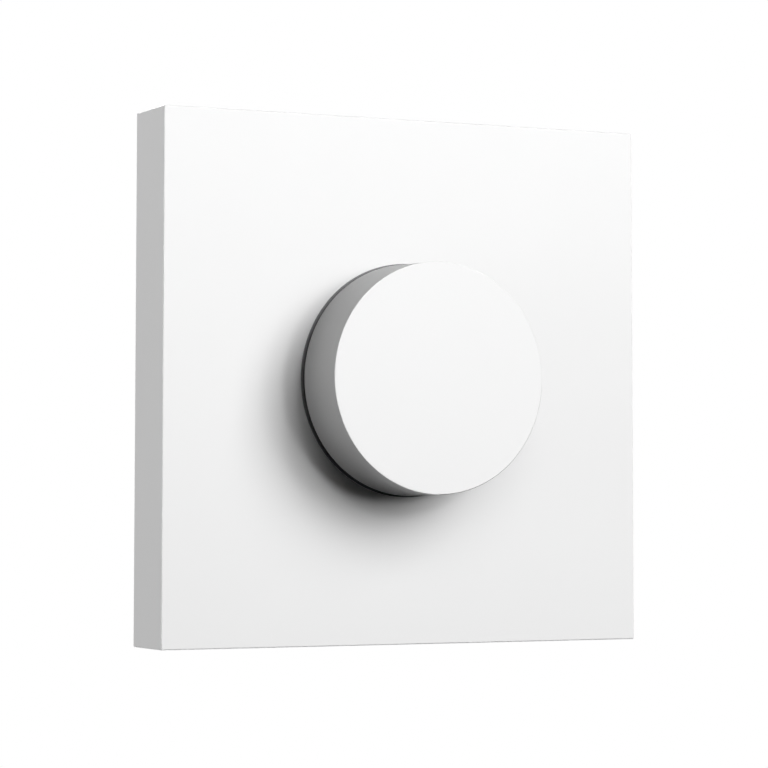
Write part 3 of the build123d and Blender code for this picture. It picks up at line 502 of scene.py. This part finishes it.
def cut_cross(context, screw, head_r, head_height):
    """Sinks a tapered cross recess into a screw's head."""
    for turn in (0, pi / 2):
        bpy.ops.object.select_all(action="DESELECT")
        bpy.ops.mesh.primitive_cube_add(size=1, location=(0, 0, 0))
        arm = context.active_object
        arm.scale = (head_r * RECESS_SPAN, head_height * RECESS_DEPTH * 2, head_r * RECESS_WIDTH)
        arm.rotation_euler = (0, turn, 0)
        bpy.ops.object.transform_apply(location=True, rotation=True, scale=True)
        open_mesh(context, arm)
        pick(arm, "FACE", lambda middle, way: way.y < -ALONG)
        bpy.ops.transform.resize(value=(RECESS_TAPER, 1, RECESS_TAPER))
        bpy.ops.object.mode_set(mode="OBJECT")
        combine(context, screw, arm, "DIFFERENCE")


def threaded_shank(context, shank_r, shank_length, head_height, pitch):
    """Shank with a rolled thread, cut flat under the head and at the tip."""
    root_r, start = shank_r * THREAD_ROOT, -head_height * SHANK_START
    stop = -head_height - shank_length
    turns = int((start - stop) / pitch) + SPARE_TURNS
    top = start + pitch * LEAD_IN
    bpy.ops.object.select_all(action="DESELECT")
    bpy.ops.mesh.primitive_plane_add(size=pitch, location=(0, 0, 0))
    shank = context.active_object
    open_mesh(context, shank)
    mesh = bmesh.from_edit_mesh(shank.data)
    bmesh.ops.delete(mesh, geom=mesh.verts[:], context="VERTS")
    run = zip((root_r, root_r, shank_r, shank_r, root_r), (0.0, *THREAD_MARKS))
    corners = [mesh.verts.new((r, top - share * pitch, 0)) for r, share in run]
    for first, second in zip(corners, corners[1:]):
        mesh.edges.new((first, second))
    bmesh.update_edit_mesh(shank.data)
    bpy.ops.object.mode_set(mode="OBJECT")
    wind = shank.modifiers.new("wind", "SCREW")
    wind.axis = "Y"
    wind.steps = wind.render_steps = THREAD_STEPS
    wind.screw_offset = -pitch
    wind.iterations = turns
    wind.use_merge_vertices = True
    bpy.ops.object.modifier_apply(modifier=wind.name)
    open_mesh(context, shank)
    bpy.ops.mesh.select_all(action="SELECT")
    bpy.ops.mesh.remove_doubles(threshold=FINEST)
    for height, up in ((start, True), (stop, False)):
        bpy.ops.mesh.select_all(action="SELECT")
        bpy.ops.mesh.bisect(
            plane_co=(0, height, 0), plane_no=(0, 1, 0), use_fill=True,
            clear_outer=up, clear_inner=not up, threshold=FINEST,
        )
    bpy.ops.mesh.select_all(action="SELECT")
    bpy.ops.mesh.normals_make_consistent(inside=False)
    bpy.ops.object.mode_set(mode="OBJECT")
    return shank


def screw_set(context, node, name, head_height, pitch):
    """Four screws at the corners of a node's box, each with its own mesh, joined as one piece."""
    sizes = context.scene.wall_switch_sizes
    low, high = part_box(node)
    length = high.y - low.y - head_height
    blank = screw_blank(context, name, sizes.screw_head_r, head_height, sizes.screw_r, length, pitch)
    reach_x, reach_z = high.x - sizes.screw_head_r, high.z - sizes.screw_head_r
    copies = [blank]
    for side_x, side_z in ((-1, 1), (1, -1), (1, 1)):
        bpy.ops.object.select_all(action="DESELECT")
        blank.select_set(True)
        context.view_layer.objects.active = blank
        bpy.ops.object.duplicate()
        copy = context.active_object
        copy.rotation_euler = (0, (side_x + 2 * side_z) * TURN_STEP, 0)
        copy.location = (side_x * reach_x, high.y, side_z * reach_z)
        copies.append(copy)
    blank.rotation_euler = (0, FIRST_TURN, 0)
    blank.location = (-reach_x, high.y, -reach_z)
    for screw in copies:
        screw.select_set(True)
    context.view_layer.objects.active = blank
    bpy.ops.object.transform_apply(location=True, rotation=True, scale=True)
    bpy.ops.object.join()
    return blank


class WALLSWITCH_OT_front(bpy.types.Operator):
    """Paint the front cover, the knob and the ring that guides it"""

    bl_idname = "wall_switch.front"
    bl_label = "Front cover, knob and ring"

    def execute(self, context):
        finish = context.scene.wall_switch_finish
        grain = finish.grain
        plate = moulded_plastic("plate plastic", finish.plate_white, grain, roughness=0.42, relief=0.15)
        paint(plate, "front_cover")
        knob = moulded_plastic("knob plastic", finish.knob_white, grain, roughness=0.42, relief=0.12)
        paint(knob, "knob")
        # The ring's dark grey is painted shade for the shadowed gap under the knob's skirt, on a real guide
        # ring
        ring = moulded_plastic("ring plastic with painted shade", finish.ring_painted_shade, grain, roughness=0.5, relief=0.2)
        paint(ring, "guide_ring")
        return {"FINISHED"}


class WALLSWITCH_OT_rear(bpy.types.Operator):
    """Model the rear cover and the battery door with rounded edges"""

    bl_idname = "wall_switch.rear"
    bl_label = "Rear cover and battery door"

    def execute(self, context):
        finish, sizes = context.scene.wall_switch_finish, context.scene.wall_switch_sizes
        grain = finish.grain * REAR_GRAIN
        plastic = moulded_plastic("rear plastic", finish.rear_white, grain, roughness=0.5, relief=0.3)
        cover = soft_edged(context, "rear_cover", "rear_moulding", sizes.rear_edge)
        hand_over(cover, "rear_cover", "case", plastic)
        door = soft_edged(context, "battery_door", "door_moulding", sizes.rear_edge)
        hand_over(door, "battery_door", "door", plastic)
        return {"FINISHED"}


class WALLSWITCH_OT_bracket(bpy.types.Operator):
    """Model the wall bracket with rounded edges"""

    bl_idname = "wall_switch.bracket"
    bl_label = "Wall bracket"

    def execute(self, context):
        finish, sizes = context.scene.wall_switch_finish, context.scene.wall_switch_sizes
        grain = finish.grain * BRACKET_GRAIN
        plastic = moulded_plastic("bracket plastic", finish.bracket_white, grain, roughness=0.55, relief=0.4)
        bracket = soft_edged(context, "wall_bracket", "bracket_moulding", sizes.bracket_edge)
        hand_over(bracket, "wall_bracket", "case", plastic)
        return {"FINISHED"}


class WALLSWITCH_OT_pad(bpy.types.Operator):
    """Model the foam pad that sticks the bracket to the wall"""

    bl_idname = "wall_switch.pad"
    bl_label = "Adhesive pad"

    def execute(self, context):
        finish, sizes = context.scene.wall_switch_finish, context.scene.wall_switch_sizes
        low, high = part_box("adhesive_pad")
        bpy.ops.object.select_all(action="DESELECT")
        bpy.ops.mesh.primitive_cube_add(size=1, location=(low + high) / 2)
        pad = context.active_object
        pad.name = "foam_pad"
        pad.scale = high - low
        bpy.ops.object.transform_apply(location=True, rotation=True, scale=True)
        open_mesh(context, pad)
        pick(pad, "EDGE", lambda middle, way: abs(way.y) > ALONG)
        bpy.ops.mesh.bevel(offset=sizes.pad_corner, segments=10, affect="EDGES")
        pick(
            pad, "EDGE",
            lambda middle, way: abs(way.y) < ACROSS and min(middle.y - low.y, high.y - middle.y) < CLOSE,
        )
        bpy.ops.mesh.bevel(offset=sizes.pad_edge, segments=4, affect="EDGES")
        pick(pad, "FACE", lambda middle, way: abs(way.y) > FACING)
        bpy.ops.mesh.inset(thickness=sizes.pad_border, depth=-sizes.pad_sink)
        bpy.ops.object.mode_set(mode="OBJECT")
        bpy.ops.object.shade_smooth_by_angle(angle=PAD_CREASE)
        hand_over(pad, "adhesive_pad", "case", cell_foam("pad foam", finish.foam))
        return {"FINISHED"}


class WALLSWITCH_OT_encoder(bpy.types.Operator):
    """Paint the rotary encoder's plastic and metal pieces"""

    bl_idname = "wall_switch.encoder"
    bl_label = "Encoder"

    def execute(self, context):
        finish = context.scene.wall_switch_finish
        housing = moulded_plastic("encoder plastic", finish.black, finish.grain, roughness=0.45, relief=0.3)
        paint(housing, "encoder_housing")
        nylon = moulded_plastic("rotor plastic", finish.amber, finish.grain, roughness=0.35, relief=0.15)
        paint(nylon, "encoder_rotor", "push_plunger")
        cast = turned_metal("cast zinc", finish.zinc, roughness=0.4, axis_z=0, pitch=0.00012)
        paint(cast, "encoder_bushing")
        turned = turned_metal("turned zinc", finish.zinc, roughness=0.28, axis_z=0, pitch=0.00008)
        paint(turned, "encoder_shaft")
        folded = rolled_metal("frame steel", finish.steel, roughness=0.3, stretch=MARKS_ALONG_X)
        paint(folded, "encoder_frame")
        sprung = rolled_metal("spring steel", finish.steel, roughness=0.22, stretch=MARKS_ALONG_Z)
        paint(sprung, "detent_spring")
        brass = rolled_metal("contact brass", finish.brass, roughness=0.25, stretch=MARKS_ALONG_Z)
        paint(brass, "encoder_pins", "encoder_wiper")
        return {"FINISHED"}


class WALLSWITCH_OT_dome(bpy.types.Operator):
    """Model the sprung dome that the plunger presses flat, in its unpressed shape only"""

    bl_idname = "wall_switch.dome"
    bl_label = "Switch dome"

    def execute(self, context):
        finish, sizes = context.scene.wall_switch_finish, context.scene.wall_switch_sizes
        low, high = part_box("switch_dome")
        rim_r, rise = (high.x - low.x) / 2, high.y - low.y
        crown_r = (rim_r**2 + rise**2) / (2 * rise)
        bpy.ops.object.select_all(action="DESELECT")
        bpy.ops.mesh.primitive_uv_sphere_add(
            segments=64, ring_count=80, radius=crown_r,
            location=(0, low.y + crown_r, 0), rotation=(pi / 2, 0, 0),
        )
        dome = context.active_object
        dome.name = "snap_dome"
        bpy.ops.object.transform_apply(location=True, rotation=True, scale=True)
        rim_plane = {
            "plane_co": (0, high.y, 0), "plane_no": (0, 1, 0), "clear_outer": True, "threshold": FINEST,
        }
        open_mesh(context, dome)
        bpy.ops.mesh.select_all(action="SELECT")
        bpy.ops.mesh.bisect(**rim_plane)
        bpy.ops.object.mode_set(mode="OBJECT")
        sheet = dome.modifiers.new("sheet", "SOLIDIFY")
        sheet.thickness = sizes.dome_sheet
        sheet.offset = -1.0
        bpy.ops.object.modifier_apply(modifier=sheet.name)
        open_mesh(context, dome)
        bpy.ops.mesh.select_all(action="SELECT")
        bpy.ops.mesh.bisect(use_fill=True, **rim_plane)
        bpy.ops.object.mode_set(mode="OBJECT")
        bpy.ops.object.shade_smooth_by_angle(angle=CREASE)
        steel = rolled_metal("dome steel", finish.steel, roughness=0.2, stretch=MARKS_ALONG_Z)
        hand_over(dome, "switch_dome", "case", steel)
        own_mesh(dome)
        return {"FINISHED"}


class WALLSWITCH_OT_boards(bpy.types.Operator):
    """Paint the circuit board, the radio and the small components"""

    bl_idname = "wall_switch.boards"
    bl_label = "Boards and radio"

    def execute(self, context):
        finish = context.scene.wall_switch_finish
        paint(board_lacquer("board lacquer", finish.lacquer), "circuit_board", "radio_board")
        copper = rolled_metal("printed copper", finish.copper, roughness=0.3, stretch=COPPER_MARKS)
        paint(copper, "radio_antenna")
        tinplate = rolled_metal("shield tinplate", finish.steel, roughness=0.3, stretch=SHIELD_MARKS)
        paint(tinplate, "radio_shield")
        grain = finish.grain * EPOXY_GRAIN
        epoxy = moulded_plastic("component epoxy", finish.epoxy, grain, roughness=0.5, relief=0.4)
        paint(epoxy, "board_components")
        return {"FINISHED"}


class WALLSWITCH_OT_battery(bpy.types.Operator):
    """Paint the coin cell, its holder and its contacts"""

    bl_idname = "wall_switch.battery"
    bl_label = "Cell, holder and contacts"

    def execute(self, context):
        finish = context.scene.wall_switch_finish
        low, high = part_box("coin_cell")
        middle_z = (low.z + high.z) / 2
        can = turned_metal("cell can", finish.cell_steel, roughness=0.3, axis_z=middle_z, pitch=0.00015)
        paint(can, "coin_cell")
        holder = moulded_plastic("holder plastic", finish.black, finish.grain, roughness=0.5, relief=0.3)
        paint(holder, "battery_holder")
        contacts = rolled_metal("contact steel", finish.steel, roughness=0.24, stretch=MARKS_ALONG_X)
        paint(contacts, "positive_contact", "negative_contact")
        return {"FINISHED"}


class WALLSWITCH_OT_screws(bpy.types.Operator):
    """Model the small screws with rounded heads, cross recesses and threads"""

    bl_idname = "wall_switch.screws"
    bl_label = "Screws"

    def execute(self, context):
        finish, sizes = context.scene.wall_switch_finish, context.scene.wall_switch_sizes
        plated = rolled_metal("screw steel", finish.steel, roughness=0.3, stretch=SCREW_MARKS)
        for node, name, head_height in (
            ("cover_screws", "cover_screw_set", sizes.cover_screw_head),
            ("board_screws", "board_screw_set", sizes.board_screw_head),
        ):
            screws = screw_set(context, node, name, head_height, sizes.thread_pitch)
            hand_over(screws, node, "case", plated)
        return {"FINISHED"}


class WALLSWITCH_OT_studio(bpy.types.Operator):
    """Set up the floor, the lights and the camera"""

    bl_idname = "wall_switch.studio"
    bl_label = "Studio"

    def execute(self, context):
        studio = context.scene.wall_switch_studio
        context.scene.view_settings.view_transform = "Standard"
        context.scene.cycles.diffuse_bounces = 0
        bpy.ops.object.select_all(action="DESELECT")
        bpy.ops.mesh.primitive_plane_add(size=studio.floor_side, location=(0, 0, studio.floor_level))
        floor = context.active_object
        floor.name = "studio_floor"
        floor.data.materials.append(floor_paint("floor paint", studio.floor_white))
        floor.visible_glossy = False
        for name, compass, height, distance, width, power in LIGHTS:
            across, up = radians(compass), radians(height)
            towards = Vector((sin(across) * cos(up), -cos(across) * cos(up), sin(up)))
            bpy.ops.object.light_add(type="AREA", location=LIGHT_AIM + towards * distance)
            light = context.active_object
            light.name = name + "_light"
            light.data.energy = power * studio.brightness
            light.data.size = width
            light.rotation_euler = (-towards).to_track_quat("-Z", "Y").to_euler()
            light.visible_camera = False
        world = bpy.data.worlds.new("studio")
        context.scene.world = world
        world.use_nodes = True
        nodes, links = world.node_tree.nodes, world.node_tree.links
        around = nodes["Background"]
        around.inputs["Strength"].default_value = 0.0
        backdrop = nodes.new("ShaderNodeBackground")
        backdrop.inputs["Color"].default_value = (1, 1, 1, 1)
        seen = nodes.new("ShaderNodeLightPath")
        both = nodes.new("ShaderNodeMixShader")
        links.new(seen.outputs["Is Camera Ray"], both.inputs["Fac"])
        links.new(around.outputs["Background"], both.inputs[1])
        links.new(backdrop.outputs["Background"], both.inputs[2])
        links.new(both.outputs["Shader"], nodes["World Output"].inputs["Surface"])
        bpy.ops.object.camera_add(
            location=studio.camera_place,
            rotation=(radians(90) + studio.camera_tilt, 0, -studio.camera_turn),
        )
        camera = context.active_object
        camera.name = "photo_camera"
        camera.data.sensor_width = studio.sensor
        camera.data.lens = studio.lens
        camera.data.shift_x, camera.data.shift_y = studio.lens_shift
        camera.data.clip_start = 0.01
        context.scene.camera = camera
        return {"FINISHED"}


STEPS = (
    WALLSWITCH_OT_front,
    WALLSWITCH_OT_rear,
    WALLSWITCH_OT_bracket,
    WALLSWITCH_OT_pad,
    WALLSWITCH_OT_encoder,
    WALLSWITCH_OT_dome,
    WALLSWITCH_OT_boards,
    WALLSWITCH_OT_battery,
    WALLSWITCH_OT_screws,
    WALLSWITCH_OT_studio,
)


class WALLSWITCH_PT_sidebar(bpy.types.Panel):
    """Lists the steps that make the switch and the settings they use"""

    bl_idname = "WALLSWITCH_PT_sidebar"
    bl_label = "Wall switch"
    bl_space_type = "VIEW_3D"
    bl_region_type = "UI"
    bl_category = "Wall switch"

    def draw(self, context):
        steps = self.layout.column(align=True)
        for step in STEPS:
            steps.operator(step.bl_idname)
        scene = context.scene
        for title, group in (
            ("Finish", scene.wall_switch_finish),
            ("Details", scene.wall_switch_sizes),
            ("Studio", scene.wall_switch_studio),
        ):
            self.layout.label(text=title)
            settings = self.layout.column(align=True)
            for setting in group.__annotations__:
                settings.prop(group, setting)


CLASSES = (WallSwitchFinish, WallSwitchSizes, WallSwitchStudio, *STEPS, WALLSWITCH_PT_sidebar)


def register():
    """Adds the add-on's classes and settings."""
    for kind in CLASSES:
        bpy.utils.register_class(kind)
    bpy.types.Scene.wall_switch_finish = PointerProperty(type=WallSwitchFinish)
    bpy.types.Scene.wall_switch_sizes = PointerProperty(type=WallSwitchSizes)
    bpy.types.Scene.wall_switch_studio = PointerProperty(type=WallSwitchStudio)


def unregister():
    """Removes them again."""
    del bpy.types.Scene.wall_switch_studio
    del bpy.types.Scene.wall_switch_sizes
    del bpy.types.Scene.wall_switch_finish
    for kind in reversed(CLASSES):
        bpy.utils.unregister_class(kind)


def main():
    """Runs every step in order."""
    register()
    bpy.ops.wall_switch.front()
    bpy.ops.wall_switch.rear()
    bpy.ops.wall_switch.bracket()
    bpy.ops.wall_switch.pad()
    bpy.ops.wall_switch.encoder()
    bpy.ops.wall_switch.dome()
    bpy.ops.wall_switch.boards()
    bpy.ops.wall_switch.battery()
    bpy.ops.wall_switch.screws()
    bpy.ops.wall_switch.studio()


if __name__ == "__main__":
    main()
